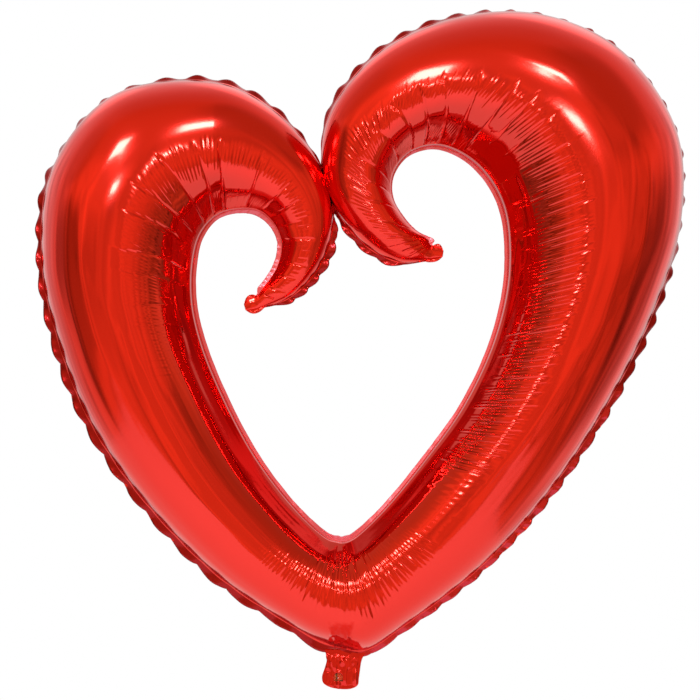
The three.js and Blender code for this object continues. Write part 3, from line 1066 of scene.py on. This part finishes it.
def direction(azimuth, elevation):
    """Unit vector; azimuth 0 is towards the camera and 90 to the right, in degrees."""
    a, e = math.radians(azimuth), math.radians(elevation)
    return Vector((math.sin(a) * math.cos(e), -math.cos(a) * math.cos(e), math.sin(e)))


def softbox(name, azimuth, elevation, size, power):
    """Rectangular soft light, aimed at the lobes."""
    place = LOBES + SOFTBOX_DISTANCE * direction(azimuth, elevation)
    light = bpy.data.lights.new(name, "AREA")
    light.shape = "RECTANGLE"
    light.size, light.size_y = size
    light.energy = power
    box = bpy.data.objects.new(name, light)
    box.location = place
    box.rotation_euler = (LOBES - place).to_track_quat("-Z", "Y").to_euler()
    box.visible_camera = False
    bpy.context.scene.collection.objects.link(box)


def floor_lamp():
    """A wide lamp from above that whitens the floor and stays out of the foil's reflections."""
    light = bpy.data.lights.new("floor_lamp", "SUN")
    light.energy = FLOOR_LAMP_POWER
    light.angle = math.radians(FLOOR_LAMP_WIDTH)
    lamp = bpy.data.objects.new("floor_lamp", light)
    lamp.visible_glossy = False
    bpy.context.scene.collection.objects.link(lamp)


# The room around the balloon: an even wall, and soft patches of it that are darker or lighter.
# Azimuth (0 towards the camera, 90 to the right) and elevation in degrees, the patch's full and
# outer radius, and the change of brightness.
WALL = 0.80
PATCHES = [
    (180, 10, 40, 80, 0.14),
    (158, 44, 8, 20, 0.6),
    (-150, 40, 6, 16, 0.45),
    (180, -14, 14, 42, -0.30),
    (-80, -8, 15, 26, -0.42),
    (-48, 14, 8, 24, 0.32),
    (62, -24, 16, 38, -0.20),
    (98, -16, 13, 27, -0.36),
    (56, 42, 14, 34, -0.27),
    (-84, 34, 8, 22, -0.10),
    (0, 90, 10, 40, -0.08),
]

# Upright bands on the wall, which the tube draws out into streaks: their density, the range of
# noise that they use, their change of brightness, and the upward part of a direction below which
# they are full and above which there are none.
BAND_SCALE = (9, 9, 1.6)
BAND_NOISE = (0.3, 0.7)
BAND_DEPTH = 0.28
BAND_FULL = 0.25
BAND_TOP = 0.60

# The wall is white, and warmer on the camera's side: the tint, the middle of it, and the degrees
# from there at which it is full and at which it ends.
WHITE = (1, 1, 1, 1)
WARM = (1, 0.50, 0.20, 1)
WARM_MIDDLE = (0, -4)
WARM_FULL = 70
WARM_END = 140


def towards_value(tree, place, middle, full, outer, value=1.0):
    """value within full degrees of a direction, falling to 0 at outer degrees."""
    towards = node(tree, "ShaderNodeVectorMath", operation="DOT_PRODUCT")
    tree.links.new(place, towards.inputs[0])
    towards.inputs[1].default_value = middle
    edges = (math.cos(math.radians(outer)), math.cos(math.radians(full)))
    return remap(tree, towards.outputs["Value"], edges, (0, value), kind="SMOOTHSTEP")


def band_strength(tree, place):
    """Change of brightness by the upright bands, which fade out upwards."""
    stretched = node(tree, "ShaderNodeVectorMath", operation="MULTIPLY")
    tree.links.new(place, stretched.inputs[0])
    stretched.inputs[1].default_value = BAND_SCALE
    cloud = noise(tree, stretched.outputs["Vector"], 1)
    depth = remap(tree, cloud, BAND_NOISE, (-BAND_DEPTH, BAND_DEPTH))
    upward = node(tree, "ShaderNodeSeparateXYZ")
    tree.links.new(place, upward.inputs["Vector"])
    low = remap(tree, upward.outputs["Z"], (BAND_TOP, BAND_FULL), kind="SMOOTHSTEP")
    return combine(tree, "MULTIPLY", depth, low)


def room():
    """World light: the wall with its patches, bands and warm side, seen white by the camera."""
    world = bpy.data.worlds.new("studio")
    bpy.context.scene.world = world
    world.use_nodes = True
    tree = world.node_tree
    tree.nodes.clear()
    output = node(tree, "ShaderNodeOutputWorld")
    place = node(tree, "ShaderNodeTexCoord").outputs["Generated"]
    strength = WALL
    for azimuth, elevation, full, outer, change in PATCHES:
        patch = towards_value(tree, place, direction(azimuth, elevation), full, outer, change)
        strength = combine(tree, "ADD", strength, patch)
    strength = combine(tree, "ADD", strength, band_strength(tree, place))
    warmth = towards_value(tree, place, direction(*WARM_MIDDLE), WARM_FULL, WARM_END)
    around = node(tree, "ShaderNodeBackground")
    tree.links.new(mix_colour(tree, warmth, WHITE, WARM), around.inputs["Color"])
    tree.links.new(strength, around.inputs["Strength"])
    white = node(tree, "ShaderNodeBackground")
    white.inputs["Color"].default_value = WHITE
    path = node(tree, "ShaderNodeLightPath")
    mix = node(tree, "ShaderNodeMixShader")
    tree.links.new(path.outputs["Is Camera Ray"], mix.inputs["Fac"])
    tree.links.new(around.outputs["Background"], mix.inputs[1])
    tree.links.new(white.outputs["Background"], mix.inputs[2])
    tree.links.new(mix.outputs["Shader"], output.inputs["Surface"])


def camera():
    """Camera in front of the balloon, level with its middle."""
    lens = bpy.data.cameras.new("camera")
    eye = bpy.data.objects.new("camera", lens)
    eye.location = (VIEW_CENTRE.x, -VIEW_DISTANCE, VIEW_HEIGHT)
    aim = VIEW_CENTRE - eye.location
    eye.rotation_euler = aim.to_track_quat("-Z", "Y").to_euler()
    lens.sensor_width = 36
    lens.lens = lens.sensor_width * aim.length / FRAME_WIDTH
    bpy.context.scene.collection.objects.link(eye)
    bpy.context.scene.camera = eye


floor()
floor_lamp()
for box_name, settings in SOFTBOXES.items():
    softbox(box_name, *settings)
room()
camera()
bpy.context.scene.view_settings.view_transform = "Standard"
